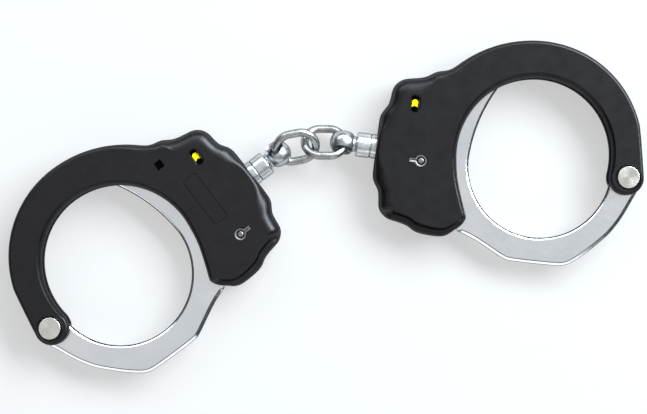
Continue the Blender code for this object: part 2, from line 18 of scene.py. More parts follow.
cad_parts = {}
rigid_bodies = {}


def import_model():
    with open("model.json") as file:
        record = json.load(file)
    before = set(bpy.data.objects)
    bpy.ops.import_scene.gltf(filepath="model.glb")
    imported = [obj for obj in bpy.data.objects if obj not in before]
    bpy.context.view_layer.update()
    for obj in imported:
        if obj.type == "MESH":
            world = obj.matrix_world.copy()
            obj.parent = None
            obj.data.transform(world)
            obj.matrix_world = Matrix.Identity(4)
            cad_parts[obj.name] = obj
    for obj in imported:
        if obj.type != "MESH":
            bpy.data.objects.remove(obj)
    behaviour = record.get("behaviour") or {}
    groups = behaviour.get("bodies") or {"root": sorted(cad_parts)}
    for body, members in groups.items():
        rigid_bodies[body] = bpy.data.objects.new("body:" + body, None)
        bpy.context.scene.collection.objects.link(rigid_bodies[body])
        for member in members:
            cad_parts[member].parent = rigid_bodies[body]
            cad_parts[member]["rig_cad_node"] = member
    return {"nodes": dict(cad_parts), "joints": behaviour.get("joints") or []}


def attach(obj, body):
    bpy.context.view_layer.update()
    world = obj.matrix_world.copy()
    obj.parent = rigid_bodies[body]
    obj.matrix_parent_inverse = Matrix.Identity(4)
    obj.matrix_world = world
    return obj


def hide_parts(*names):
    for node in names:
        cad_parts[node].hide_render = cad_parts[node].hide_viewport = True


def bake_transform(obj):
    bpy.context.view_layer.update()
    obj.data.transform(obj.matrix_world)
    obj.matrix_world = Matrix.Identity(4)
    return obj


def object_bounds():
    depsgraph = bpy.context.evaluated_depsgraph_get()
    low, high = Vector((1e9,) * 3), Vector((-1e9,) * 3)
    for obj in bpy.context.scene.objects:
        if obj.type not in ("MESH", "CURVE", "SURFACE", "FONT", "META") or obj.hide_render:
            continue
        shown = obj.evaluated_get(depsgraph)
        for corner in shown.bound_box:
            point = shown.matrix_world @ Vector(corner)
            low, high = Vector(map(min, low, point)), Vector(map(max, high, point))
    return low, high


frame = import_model()
CAD_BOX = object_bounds()
JOINTS = {joint["name"]: joint for joint in frame["joints"]}
MM = 0.001                    # one millimetre in metres

Box = namedtuple("Box", "low high centre size")


# ---------------------------------------------------------------- places and sizes from the frame

def cuff_matrix(tag):
    """Where a cuff's own frame stands: the bow turns on its Z and the swivel on its X."""
    pivot = JOINTS[f"bow_{tag}_turn"]
    z = Vector(pivot["axis"]).normalized()
    x = Vector(JOINTS[f"swivel_{tag}_spin"]["axis"]).normalized()
    turn = Matrix((x, z.cross(x), z)).transposed()
    return Matrix.Translation(pivot["pos_m"]) @ turn.to_4x4()


def local_box(node, matrix):
    """The box of a CAD node in a frame of its own, in millimetres."""
    back = matrix.inverted()
    points = np.array([back @ v.co for v in frame["nodes"][node].data.vertices]) / MM
    low, high = Vector(points.min(0)), Vector(points.max(0))
    return Box(low, high, (low + high) / 2, high - low)


def link_matrix(node):
    """Where a chain link's own frame stands: long along X, and Z through its hole."""
    points = np.array([v.co for v in frame["nodes"][node].data.vertices], float)
    middle = points.mean(0)
    _, axes = np.linalg.eigh(np.cov((points - middle).T))
    x, z = Vector(axes[:, 2]), Vector(axes[:, 0])
    turn = Matrix((x, z.cross(x), z)).transposed()
    return Matrix.Translation(middle) @ turn.to_4x4()


CUFFS = {tag: cuff_matrix(tag) for tag in "ab"}
PATTERN = {node[:-2]: local_box(node, CUFFS["a"]) for node in frame["nodes"] if node.endswith("_a")}

FACE = PATTERN["overmold_front"].high.z
PARTING = PATTERN["overmold_front"].low.z
BOW_HALF = PATTERN["bow"].high.z
PLATE_IN, PLATE_OUT = PATTERN["frame_plate_front"].low.z, PATTERN["frame_plate_front"].high.z
RIVET_HEAD, RIVET_TOP = PATTERN["pivot_rivet"].high.x, PATTERN["pivot_rivet"].high.z
COLLAR_START, COLLAR_END = PATTERN["swivel_collar"].low.x, PATTERN["swivel_collar"].high.x
FLANGE_R = PATTERN["swivel_collar"].high.z
BALL_AT = math.dist(JOINTS["swivel_a_spin"]["pos_m"], JOINTS["bow_a_turn"]["pos_m"]) / MM
BALL_R = PATTERN["swivel_eye"].high.x - BALL_AT
STEM_START = PATTERN["swivel_eye"].low.x
KEY_FRONT, KEY_REAR = PATTERN["key_post_front"].centre, PATTERN["key_post_rear"].centre
KEY_POST_R, KEY_POST_TOP = PATTERN["key_post_front"].size.x / 2, PATTERN["key_post_front"].high.z
KEYHOLE_R = KEY_FRONT.x - PATTERN["keyhole_liner_front"].low.x
KEYHOLE_REACH = PATTERN["keyhole_liner_front"].high.x - KEY_FRONT.x
LINER_LOW, LINER_TOP = PATTERN["keyhole_liner_front"].low.z, PATTERN["keyhole_liner_front"].high.z
SLIDE = PATTERN["double_lock"]
WINDOW_AT = PATTERN["lockset_retainer"].centre

# Clearances and cutters
GAP = 0.3                     # between fixed neighbours
TURNING_GAP = 0.2             # round a shaft in its bore
BEYOND = 1.0                  # how far a cutter runs past a face
MITRE = 0.4                   # limit to how far a sharp corner runs out when an outline grows

# Mouldings
POCKET = 4.2                  # depth of the pocket for a plate
EDGE_CHAMFER = 0.35           # broken edge round each opening in a face, unless it has its own
HEAD_CHAMFER, WINDOW_CHAMFER, KEYHOLE_CHAMFER = 0.55, 0.15, 0.1
SEAM = 0.3                    # broken edge where the two mouldings meet
BOSS_R = 5.9
WRIST_NEAR, WRIST_FAR = (32.1, 3.93), (32.1, 2.83)    # middles of the arcs round the wrist and over
BACK_NEAR, BACK_FAR = (33.2, 5.45), (33.2, 0.55)      # the back, near the pivot and far from it
EDGE_SLOPE, EDGE_DEPTH = 1.15, 4.2    # an edge's depth as a share of its width, and the most it may be
STEP_INSET = (0.0, 0.07, 0.18, 0.46, 0.70, 0.77, 0.84, 0.91, 0.97, 1.0)    # a stepped edge, from
STEP_RISE = (0.0, 0.20, 0.30, 0.35, 0.37, 0.33, 0.31, 0.36, 0.80, 1.0)     # the wall to the face
CROWN, STEPPED = 1.65, 2.0    # how much wider a crowned edge is, and the slope of a stepped one
SLOT_AT, SLOT_HALF_WIDTH, SLOT_HALF_LENGTH = (75.1, 15.9), 1.6, 2.8
WINDOW_HALF, WINDOW_CORNER = 1.35, 0.25
PANEL_AT, PANEL_HALF, PANEL_CORNER = (68.9, 2.8), (2.8, 9.3), 1.0    # a blank name panel, engraved
PANEL_GROOVE, PANEL_DEPTH = 0.3, 0.5                                 # as an outline
MOUTH_START, MOUTH_END, MOUTH_FLARE = 0.5, 5, 2.4    # the collar's mouth: its ends, and how it widens

# Rivet, keyhole and lock
RIVET_SHANK = 2.5
RIVET_RECESS = 5.1            # height of the recess under the rivet's head
RIVET_EDGE = ((0.22, 0.0), (0.1, 0.04), (0.03, 0.12), (0.0, 0.25))      # inset and drop at its head
KEY_POST_DOME = ((0.5, 0.0), (0.75, 0.03), (0.92, 0.12), (1.0, 0.3))    # share of its radius, and drop
KEYHOLE_HALF_SLOT, KEYHOLE_GAP, LINER_LIP = 0.75, 0.12, 0.62
LINER_EDGE = ((0.0, 0.05), (0.05, 0.0), (0.12, 0.0), (LINER_LIP, 0.15))    # inset and drop at its top
LOCK_HALF, LOCK_BEVEL = 1.7, 0.15
TAB_REACH, TAB_FOOT, TAB_TOP = 3.6, 3.7, 5.7    # the slide's tab: its reach, and its ends along Y
PAD_FOOT, PAD_TOP, PAD_HALF_WIDTH, PAD_BITE_R = 13.9, 17.5, 1.05, 1.3
HIDDEN_BEVEL = 0.12           # broken edges of the steel frame and the lockset
LEAF_LENGTH = 0.965           # share of the CAD leaf spring's length

# Bow
BOW_SWEEP = 62.8
TOOTH_CREST, TOOTH_ROOT = 62.0, 60.9
TOOTH_PITCH, TOOTH_START, TOOTH_FLANK, TOOTH_COUNT = 2.7, -24.0, 0.335, 19
# Inset and drop along the bow's chamfers, as shares of their width. The narrow chamfer has a steep
# facet and then a shallow one; the wide chamfer has a shallow facet below a small step.
NARROW_CHAMFER = ((0.0, 0.98), (0.02, 0.90), (0.20, 0.64), (0.42, 0.34), (0.50, 0.27), (0.70, 0.16),
                  (0.95, 0.02), (1.05, 0.0))
WIDE_CHAMFER = ((0.0, 1.0), (0.02, 0.95), (0.10, 0.72), (0.16, 0.66), (0.74, 0.32), (0.80, 0.25),
                (0.97, 0.02), (1.05, 0.0))
INNER_CHAMFER, OUTER_CHAMFER = 0.8, 1.25
BOW_INNER, BOW_SWELL = 54.45, 0.03      # inner edge of the toothed stretch, and its swell to a degree

# Swivel and chain
COLLAR_R, COLLAR_CHAMFER, FLANGE_END = 4.2, 0.35, 84.6
GROOVE_AT, GROOVE_HALF, GROOVE_DEPTH = 88.3, 0.4, 0.32
STEM_R, STEM_HEAD_R, STEM_HEAD_END, STEM_POCKET_R = 2.25, 3.2, 87.1, 3.45
NECK_R, NECK_FILLET, COLLAR_GAP = 2.65, 0.35, 0.15    # the gap lies between the neck and the collar
NECK_ROOT = ((0.12, 0.12), (0.0, 0.4))    # the neck's fillet: how far out, and how far below the ball
NECK_END = ((0.0, 0.35), (0.1, 0.2))      # its broken end: how far in, and how far above the collar
EYE_R, EYE_MOUTH_R, EYE_MOUTH_AT, EYE_BEVEL = 2.25, 3.35, 2.85, 0.18
WIRE_SIDES = 28

# Studio, in metres and watts
FLOOR_HALF = 6.0
FLOOR_GREY, FLOOR_GLOW, FLOOR_ROUGHNESS = 0.26, 0.5, 0.9
COOL, WHITE = (0.84, 0.93, 1.0), (1.0, 1.0, 1.0)
SOFTBOXES = {    # power, size, position and colour
    "key_light": (54.0, (1.45, 0.68), (0.85, 0.7, 0.95), COOL),
    "back_strip": (9.0, (1.4, 0.5), (-0.4, 1.1, 0.8), COOL),
    "front_strip": (5.6, (2.6, 0.55), (-0.1, -1.2, 0.62), WHITE),
}
SURROUND = ((0.0, 0.02), (0.55, 0.06), (0.8, 0.42), (0.93, 0.64), (1.0, 0.66))    # height and grey

# Camera and floor, in millimetres
FLOOR_GAP = 0.05              # between the object's lowest point and the floor
VIEW_WIDTH, VIEW_SHIFT = 221.5, (-0.92, 0.13)
LENS, SENSOR = 150.0, 36.0
CLIP_START, CLIP_END = 0.05, 20.0    # in metres


# ---------------------------------------------------------------- outlines

def arc(cx, cy, radius, start, end, count=12):
    """Points on an arc between two angles in degrees, both ends included."""
    angles = [math.radians(start + (end - start) * i / count) for i in range(count + 1)]
    return [(cx + radius * math.cos(a), cy + radius * math.sin(a)) for a in angles]


def polar(radius, degrees):
    """The point at a radius and an angle about the pivot."""
    a = math.radians(degrees)
    return radius * math.cos(a), radius * math.sin(a)


def circle(centre, radius, sides=48):
    """A round outline."""
    return arc(centre[0], centre[1], radius, 0, 360 - 360 / sides, sides - 1)


def oval(centre, half_width, half_length):
    """A slot with round ends, long along Y."""
    x, y = centre
    straight = half_length - half_width
    return arc(x, y + straight, half_width, 0, 180) + arc(x, y - straight, half_width, 180, 360)


def rounded_rectangle(centre, half_x, half_y, corner):
    """A rectangle with round corners."""
    x, y = half_x - corner, half_y - corner
    corners = ((x, y, 0), (-x, y, 90), (-x, -y, 180), (x, -y, 270))
    return [point for cx, cy, start in corners
            for point in arc(centre[0] + cx, centre[1] + cy, corner, start, start + 90, 5)]


def keyhole(centre, grow):
    """A round hole with a slot for the key's bit, which points to +X."""
    x, y = centre[0], centre[1]
    radius, half = KEYHOLE_R + grow, KEYHOLE_HALF_SLOT + grow
    corner = math.degrees(math.asin(half / radius))
    reach = x + KEYHOLE_REACH + grow
    return arc(x, y, radius, corner, 360 - corner, 40) + [(reach, y - half), (reach, y + half)]


def grown(outline, by):
    """A closed counter-clockwise outline moved outwards, by one distance or by one for each point."""
    steps = by if isinstance(by, (list, tuple)) else [by] * len(outline)
    result = []
    for i, (point, step) in enumerate(zip(outline, steps)):
        before, here = Vector(outline[i - 1]), Vector(point)
        after = Vector(outline[(i + 1) % len(outline)])
        into, away = (here - before).normalized(), (after - here).normalized()
        normal = Vector((into.y + away.y, -into.x - away.x)).normalized()
        reach = step / max(MITRE, normal.dot(Vector((into.y, -into.x))))
        result.append(tuple(here + normal * reach))
    return result


def flowing(points, pieces=3, closed=True):
    """A smooth curve that follows a polyline, whose points may hold any number of values."""
    middle = [tuple((a + b) / 2 for a, b in zip(p, q)) for p, q in zip(points, points[1:] + points[:1])]
    inner = range(len(points)) if closed else range(1, len(points) - 1)
    result = [] if closed else [tuple(points[0])]
    for i in inner:
        for k in range(pieces):
            t = k / pieces
            result.append(tuple((1 - t) ** 2 * a + 2 * t * (1 - t) * b + t * t * c
                                for a, b, c in zip(middle[i - 1], points[i], middle[i])))
    return result if closed else result + [tuple(points[-1])]


def rim(cx, cy, radius, start, end, insets, crisp, count=14):
    """A stretch of moulding edge that is an arc. Each point is the silhouette's x and y, the face
    edge's x and y, and how straight the slope between them is. The inset runs between two values."""
    outer = arc(cx, cy, radius, start, end, count)
    points = []
    for i, (x, y) in enumerate(outer):
        inset = insets[0] + (insets[1] - insets[0]) * i / count
        scale = (radius + inset) / radius
        points.append((x, y, cx + (x - cx) * scale, cy + (y - cy) * scale, crisp))
    return points


def paired(silhouette, face, crisp):
    """A stretch of moulding edge from two lists of points."""
    return [(*a, *b, crisp) for a, b in zip(silhouette, face)]


def moulding_edge():
    """The whole edge of a moulding: pivot boss, wrist opening, toe, lobed housing and back."""
    heel = paired([(57.9, -7.0), (56.5, -11.3), (54.0, -18.0), (53.1, -20.0), (53.3, -21.3)],
                  [(59.2, -7.2), (57.8, -11.8), (55.3, -18.2), (54.6, -19.6), (55.0, -20.6)], 0.35)
    toe = paired([(54.5, -23.4), (56.8, -25.3), (58.7, -27.1), (61.1, -28.0), (66.0, -27.9),
                  (68.7, -27.6)],
                 [(56.3, -22.0), (58.2, -23.4), (60.0, -24.6), (62.0, -24.9), (65.8, -24.6),
                  (68.4, -24.1)], STEPPED)
    lobes = paired([(86.4, 9.5), (86.0, 11.5), (84.9, 13.2), (83.8, 14.9), (83.36, 17.6), (83.2, 20.0),
                    (82.3, 22.1), (79.9, 24.0), (77.4, 24.5), (75.1, 24.9), (73.2, 25.4),
                    (71.8, 26.0), (70.5, 26.9)],
                   [(83.3, 9.2), (82.9, 11.2), (82.1, 12.8), (81.3, 14.4), (80.8, 16.9), (80.6, 18.8),
                    (79.8, 20.3), (78.0, 21.1), (76.2, 21.4), (74.4, 21.7), (72.8, 22.1),
                    (71.4, 22.8), (70.2, 23.6)], 0.0)
    shoulder = paired([(69.1, 27.8), (67.6, 28.2), (66.0, 28.55), (64.3, 29.15)],
                      [(68.8, 24.6), (67.2, 25.0), (65.3, 25.8), (63.1, 27.5)], 0.0)
    crowned = [(x, y, x + CROWN * (fx - x), y + CROWN * (fy - y), 0.0) for x, y, fx, fy, _ in lobes]
    lower_lobes = [(x, -y, fx, -fy, STEPPED) for x, y, fx, fy, _ in reversed(lobes[7:])]
    lower_lobes += [(x, -y, fx, -fy, 0.0) for x, y, fx, fy, _ in reversed(crowned[:7])]
    swivel_end = paired([(86.4, -5.0), (86.4, 0.0), (86.4, 5.0)],
                        [(84.7, -4.6), (85.0, 0.0), (84.7, 4.6)], 0.0)
    return (rim(0.55, -0.25, BOSS_R, 172, 362, (-1.1, -1.0), 0.1)
            + rim(*WRIST_NEAR, 25.9, 188, 90, (1.0, 2.1), 0.75, 20)
            + rim(*WRIST_FAR, 27.0, 88, -8, (2.1, 1.4), 0.75, 20)
            + heel + toe + lower_lobes + swivel_end + crowned + shoulder
            + rim(*BACK_FAR, 42.0, 46, 62, (-2.4, -1.4), 0.0, 5)
            + rim(*BACK_FAR, 42.0, 65, 90, (-1.4, -1.3), 0.0, 7)
            + rim(*BACK_NEAR, 37.1, 92, 162, (-1.3, -1.1), 0.0, 18))


def cheek_plate_outline():
    """Outline of the steel plate inside each moulding."""
    boss = arc(0.3, 0.0, 4.4, 172, 356)
    inner = arc(*WRIST_NEAR, 27.8, 188, 90) + arc(*WRIST_FAR, 28.9, 90, -8)[1:]
    toe = [(59.7, -7.0), (58.3, -11.6), (55.9, -17.3), (55.5, -20.2), (57.6, -23.2), (61.6, -25.5)]
    side = [(82.7, 10.5), (81.1, 14.5), (80.8, 19.8), (79.0, 21.9), (72.5, 22.9), (69.0, 24.9)]
    outer = arc(*BACK_FAR, 39.6, 46, 90) + arc(*BACK_NEAR, 34.7, 90, 162)[1:]
    lower_side = [(x, -y) for x, y in reversed(side)]
    return boss + inner + toe + lower_side + side + [(64.5, 26.2)] + outer


def bow_edge():
    """The whole edge of the bow. Each point is x, y and the width of its chamfer."""
    def wide(points, width):
        return [(x, y, width) for x, y in points]

    eye = wide(arc(0.0, 0.0, 5.2, 4, 170), 0.4)
    outer = [(-5.15, -1.5), (-3.6, -5.5), (-2.5, -8.0), (0.0, -14.0), (3.0, -19.0), (5.0, -21.5),
             (10.0, -26.8), (14.5, -30.8), (17.0, -32.3), (19.5, -33.0), (36.5, -33.3), (39.0, -32.6),
             (44.0, -30.0), (50.0, -27.0), (54.0, -25.7)]
    teeth = []
    for number in range(TOOTH_COUNT):
        start = TOOTH_START + number * TOOTH_PITCH
        teeth += [polar(TOOTH_ROOT, start), polar(TOOTH_CREST, start + TOOTH_FLANK)]
    teeth.append(polar(TOOTH_ROOT, TOOTH_START + TOOTH_COUNT * TOOTH_PITCH))
    tip = [polar(60.2, 28.6), polar(59.5, 30.5), polar(57.2, 32.5), polar(55.6, 33.0),
           polar(BOW_INNER - 31.8 * BOW_SWELL, 31.8)]
    inner = [polar(BOW_INNER - a * BOW_SWELL, a) for a in range(30, 0, -2)]
    inner += arc(30.0, 0.2, 24.5, 358, 182, 40)
    return (eye + flowing(wide(outer, OUTER_CHAMFER), 4, closed=False) + wide([(55.3, -25.3)], 0.5)
            + wide(teeth, 0.22) + flowing(wide(tip, 0.6), 4, closed=False) + wide(inner, INNER_CHAMFER))


# ---------------------------------------------------------------- mesh work

def at(outline, height):
    """An outline as a loop of points at one height."""
    return [(x, y, height) for x, y in outline]


def lofted(name, loops, closed=False):
    """A skin over loops with the same number of points, capped at both ends or joined into a ring."""
    build = bmesh.new()
    rows = [[build.verts.new(Vector(point) * MM) for point in loop] for loop in loops]
    pairs = list(zip(rows, rows[1:]))
    if closed:
        pairs.append((rows[-1], rows[0]))
    for low, high in pairs:
        for i in range(len(low)):
            build.faces.new((low[i - 1], low[i], high[i], high[i - 1]))
    if not closed:
        build.faces.new(rows[0][::-1])
        build.faces.new(rows[-1])
    bmesh.ops.recalc_face_normals(build, faces=build.faces)
    mesh = bpy.data.meshes.new(name)
    build.to_mesh(mesh)
    build.free()
    obj = bpy.data.objects.new(name, mesh)
    bpy.context.scene.collection.objects.link(obj)
    return obj


def prism(name, outline, low, high):
    """An outline extruded between two heights."""
    return lofted(name, [at(outline, low), at(outline, high)])


def framed(name, outer, inner, low, high):
    """A band between two outlines with the same number of points."""
    return lofted(name, [at(outer, low), at(outer, high), at(inner, high), at(inner, low)], closed=True)


def opening(name, outline, side, low, chamfer=EDGE_CHAMFER):
    """A cutter that goes out through one face from a height, with a broken edge at the face."""
    wider = grown(outline, chamfer)
    loops = [at(outline, side * low), at(outline, side * (FACE - chamfer)),
             at(wider, side * FACE), at(wider, side * (FACE + BEYOND))]
    return lofted(name, loops)


def turned(name, profile, steps=64, axis="Z", along=0.0, closed=False):
    """A turned piece. The profile is (radius, height) pairs, and the height runs along the axis."""
    loops = []
    for radius, height in profile:
        ring = [(radius * math.cos(a), radius * math.sin(a), height)
                for a in (2 * math.pi * i / steps for i in range(steps))]
        if axis == "X":
            ring = [(z + along, x, y) for x, y, z in ring]
        loops.append(ring)
    return lofted(name, loops, closed)


def carved(obj, tools, operation="DIFFERENCE"):
    """Takes the tools' volumes out of a piece, or adds them to it, and removes the tools."""
    for tool in tools:
        boolean = obj.modifiers.new(tool.name, "BOOLEAN")
        boolean.operation = operation
        boolean.solver = "EXACT"
        boolean.object = tool
    bpy.context.view_layer.update()
    graph = bpy.context.evaluated_depsgraph_get()
    mesh = bpy.data.meshes.new_from_object(obj.evaluated_get(graph))
    obj.modifiers.clear()
    obj.data = mesh
    for tool in tools:
        bpy.data.objects.remove(tool, do_unlink=True)
    return obj


def edged(obj, bevel=0.0, sharp=32):
    """Smooth shading with broken edges, and flat faces that stay flat."""
    if "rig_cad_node" not in obj:    # the CAD's own meshes keep their shading
        obj.data.shade_smooth()
        obj.data.set_sharp_from_angle(angle=math.radians(sharp))
    if bevel:
        edge = obj.modifiers.new("broken_edges", "BEVEL")
        edge.width = bevel * MM
        edge.segments = 2
        edge.limit_method = "ANGLE"
        edge.angle_limit = math.radians(sharp)
        edge.harden_normals = True
    flat = obj.modifiers.new("flat_faces", "WEIGHTED_NORMAL")
    flat.keep_sharp = True
    return obj


def fitted(obj, matrix, body, node, material):
    """Puts a finished piece in its place: it rides on a body and stands for a CAD node."""
    obj.data.materials.clear()
    obj.data.materials.append(material)
    obj.data.transform(matrix)
    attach(obj, body)
    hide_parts(node)


# ---------------------------------------------------------------- materials

class Finish:
    """A procedural material, whose patterns are laid in a cuff's or link's own frame."""

    def __init__(self, name, matrix, **sockets):
        self.material = bpy.data.materials.new(name)
        self.material.use_nodes = True
        self.tree = self.material.node_tree
        self.shader = self.tree.nodes["Principled BSDF"]
        for socket, value in sockets.items():
            self.shader.inputs[socket.replace("_", " ")].default_value = value
        self.relief = None
        self.coordinates = self.tree.nodes.new("ShaderNodeTexCoord")
        frame_of = self.node("ShaderNodeMapping", {"Vector": self.coordinates.outputs["Object"]},
                             Location=matrix.to_translation(), Rotation=matrix.to_euler())
        frame_of.vector_type = "TEXTURE"
        self.place = frame_of.outputs["Vector"]

    def node(self, kind, links=(), **values):
        """Adds a node, sets its sockets by name and joins others to them."""
        made = self.tree.nodes.new(kind)
        for socket, value in values.items():
            made.inputs[socket.replace("_", " ")].default_value = value
        for socket, source in dict(links).items():
            self.tree.links.new(source, made.inputs[socket])
        return made

    def noise(self, per_mm, detail=2.0, stretch=(1, 1, 1), roughness=0.5):
        """Noise with so many features to the millimetre, which may be drawn out along an axis."""
        scale = [s * per_mm / MM for s in stretch]
        mapped = self.node("ShaderNodeMapping", {"Vector": self.place}, Scale=scale)
        made = self.node("ShaderNodeTexNoise", {"Vector": mapped.outputs["Vector"]},
                         Scale=1.0, Detail=detail, Roughness=roughness)
        return made.outputs["Fac"]

    def range(self, value, low, high, start=0.3, end=0.7):
        """A value from 0 to 1 mapped onto a range."""
        made = self.node("ShaderNodeMapRange", {"Value": value})
        for socket, number in zip(("From Min", "From Max", "To Min", "To Max"), (start, end, low, high)):
            made.inputs[socket].default_value = number
        return made.outputs["Result"]

    def colour(self, value, dark, light, start=0.3, end=0.7):
        """Colours the piece between two colours."""
        ramp = self.node("ShaderNodeValToRGB", {"Fac": value})
        for stop, place, rgb in zip(ramp.color_ramp.elements, (start, end), (dark, light)):
            stop.position = place
            stop.color = (*rgb, 1.0)
        self.tree.links.new(ramp.outputs["Color"], self.shader.inputs["Base Color"])

    def flatness(self):
        """1 on a level face and 0 on an upright wall."""
        axes = self.node("ShaderNodeSeparateXYZ", {"Vector": self.coordinates.outputs["Normal"]})
        level = self.node("ShaderNodeMath", {0: axes.outputs["Z"]})
        level.operation = "ABSOLUTE"
        return level.outputs[0]

    def paint_wall_shade(self, shade, start, end):
        """Paints shade into the base colour where the surface turns from a face to a wall, standing in
        for the dark surroundings that an upright wall reflects.
        """
        share = self.range(self.flatness(), shade, 1.0, start, end)
        socket = self.shader.inputs["Base Color"]
        shaded = self.node("ShaderNodeVectorMath", {0: socket.links[0].from_socket, 1: share})
        shaded.operation = "MULTIPLY"
        self.tree.links.new(shaded.outputs[0], socket)

    def gloss(self, value, low, high, start=0.3, end=0.7):
        """Roughness between two values."""
        rough = self.range(value, low, high, start, end)
        self.tree.links.new(rough, self.shader.inputs["Roughness"])

    def dull_walls(self, roughness, start, end):
        """Roughens the surface where it turns from a face to a wall."""
        least = self.range(self.flatness(), roughness, 0.0, start, end)
        socket = self.shader.inputs["Roughness"]
        rough = self.node("ShaderNodeMath", {0: socket.links[0].from_socket, 1: least})
        rough.operation = "MAXIMUM"
        self.tree.links.new(rough.outputs[0], socket)

    def bump(self, height, depth, strength=1.0):
        """Adds relief of a depth in millimetres on top of any before it."""
        links = {"Height": height}
        if self.relief is not None:
            links["Normal"] = self.relief
        made = self.node("ShaderNodeBump", links, Strength=strength, Distance=depth * MM)
        self.relief = made.outputs["Normal"]
        self.tree.links.new(self.relief, self.shader.inputs["Normal"])


def polymer_finish(name, matrix):
    """Black glass-filled nylon with a fine spark-eroded grain."""
    finish = Finish(name, matrix, IOR=1.45, Specular_IOR_Level=0.45)
    grain = finish.noise(2.2, detail=3.0)
    finish.colour(grain, (0.0012, 0.001, 0.0016), (0.004, 0.0035, 0.005), start=0.35, end=0.65)
    finish.gloss(finish.noise(0.25, detail=4.0), low=0.32, high=0.40)
    finish.dull_walls(roughness=1.0, start=0.2, end=0.75)
    finish.bump(finish.noise(0.08, detail=3.0), depth=0.15, strength=0.3)
    finish.bump(grain, depth=0.012, strength=0.4)
    return finish.material


def case_finish(name, matrix):
    """Matt dark polymer of the lockset's case."""
    finish = Finish(name, matrix, IOR=1.5, Specular_IOR_Level=0.12)
    grain = finish.noise(3.0)
    finish.colour(grain, (0.0035, 0.0035, 0.004), (0.008, 0.008, 0.009))
    finish.gloss(finish.noise(0.5), low=0.5, high=0.62)
    finish.bump(grain, depth=0.04, strength=0.5)
    return finish.material


def indicator_finish(name, matrix):
    """Yellow acetal, slightly scuffed."""
    finish = Finish(name, matrix, IOR=1.4, Specular_IOR_Level=0.25)
    finish.colour(finish.noise(1.2, detail=4.0), (0.95, 0.76, 0.0), (1.0, 0.86, 0.004))
    finish.gloss(finish.noise(4.0, detail=3.0), low=0.32, high=0.5)
    finish.bump(finish.noise(5.0), depth=0.02, strength=0.4)
    return finish.material


EDGE_TINT = (0.45, 0.45, 0.45, 1.0)                       # steel is dull where it is seen edge on, and painted shade darkens it where it is upright
STEEL_WALL_SHADE = {"shade": 0.3, "start": 0.0, "end": 0.6}    # and dark where it is upright


def bow_finish(name, matrix):
    """Satin nickel-plated steel, tumbled smooth."""
    finish = Finish(name, matrix, Metallic=1.0, Specular_Tint=EDGE_TINT)
    cloud = finish.noise(0.05, detail=3.0)
    finish.colour(cloud, (0.79, 0.835, 0.88), (0.92, 0.95, 0.975))
    # painted shade: the steep chamfer facets are darkened almost to black, standing in for the dark
    # surroundings they reflect
    finish.paint_wall_shade(shade=0.03, start=0.6, end=0.78)
    finish.gloss(finish.noise(0.6, detail=5.0), low=0.15, high=0.24)
    finish.bump(finish.noise(1.5, detail=3.0, stretch=(1, 6, 1)), depth=0.004, strength=0.5)
    finish.bump(cloud, depth=0.15, strength=0.12)
    return finish.material


def turned_finish(name, matrix, dark, light, gloss, axis):
    """Steel with the fine rings that a lathe leaves round one axis."""
    finish = Finish(name, matrix, Metallic=1.0, Specular_Tint=EDGE_TINT)
    finish.colour(finish.noise(0.4, detail=4.0), dark, light)
    # painted shade on the upright sides, standing in for the dark surroundings they reflect
    finish.paint_wall_shade(**STEEL_WALL_SHADE)
    finish.gloss(finish.noise(1.5, detail=4.0), *gloss)
    if axis == "Z":
        finish.shader.inputs["Anisotropic"].default_value = 0.65
        tangent = finish.tree.nodes.new("ShaderNodeTangent")
        tangent.direction_type = "RADIAL"
        tangent.axis = "Z"
        finish.tree.links.new(tangent.outputs["Tangent"], finish.shader.inputs["Tangent"])
        bands = finish.node("ShaderNodeTexWave", {"Vector": finish.place}, Scale=0.8 / MM,
                            Distortion=1.5, Detail=3.0, Detail_Scale=2.0)
        bands.wave_type = "RINGS"
        bands.rings_direction = "Z"
        finish.bump(bands.outputs["Fac"], depth=0.01, strength=0.5)
    else:
        finish.bump(finish.noise(0.25, detail=4.0, stretch=(14, 1, 1)), depth=0.01, strength=0.6)
    return finish.material


def satin_finish(name, matrix, dark, light, gloss, depth=0.03):
    """Steel with a soft irregular surface: darker clouds, scuffs and small dents."""
    finish = Finish(name, matrix, Metallic=1.0, Specular_Tint=EDGE_TINT)
    finish.colour(finish.noise(0.35, detail=5.0, roughness=0.6), dark, light)
    # painted shade on the upright sides, standing in for the dark surroundings they reflect
    finish.paint_wall_shade(**STEEL_WALL_SHADE)
    finish.gloss(finish.noise(1.1, detail=5.0), *gloss)
    finish.bump(finish.noise(0.7, detail=3.0), depth, strength=0.4)
    finish.bump(finish.noise(3.0, detail=3.0, stretch=(1, 4, 1)), depth=0.006, strength=0.4)
    return finish.material


STEELS = {    # the darkest and lightest colour, and the range of roughness
    "rivet": ((0.72, 0.705, 0.66), (0.85, 0.835, 0.79), (0.20, 0.30)),
    "collar": ((0.58, 0.61, 0.63), (0.82, 0.85, 0.87), (0.26, 0.38)),
    "eye": ((0.42, 0.45, 0.48), (0.66, 0.69, 0.71), (0.26, 0.38)),
    "link": ((0.30, 0.30, 0.30), (0.56, 0.57, 0.57), (0.24, 0.38)),
    "keyhole": ((0.20, 0.195, 0.19), (0.32, 0.315, 0.31), (0.3, 0.42)),
    "lock": ((0.34, 0.35, 0.36), (0.48, 0.49, 0.50), (0.3, 0.42)),
    # the lock bar is painted near black as shade, so the slot round the yellow pad reads as a deep dark
    # hollow
    "slot_shade": ((0.012, 0.012, 0.013), (0.022, 0.022, 0.024), (0.4, 0.55)),
    "frame": ((0.22, 0.23, 0.24), (0.36, 0.37, 0.38), (0.35, 0.5)),
    "spring": ((0.35, 0.34, 0.33), (0.50, 0.49, 0.47), (0.22, 0.34)),
}


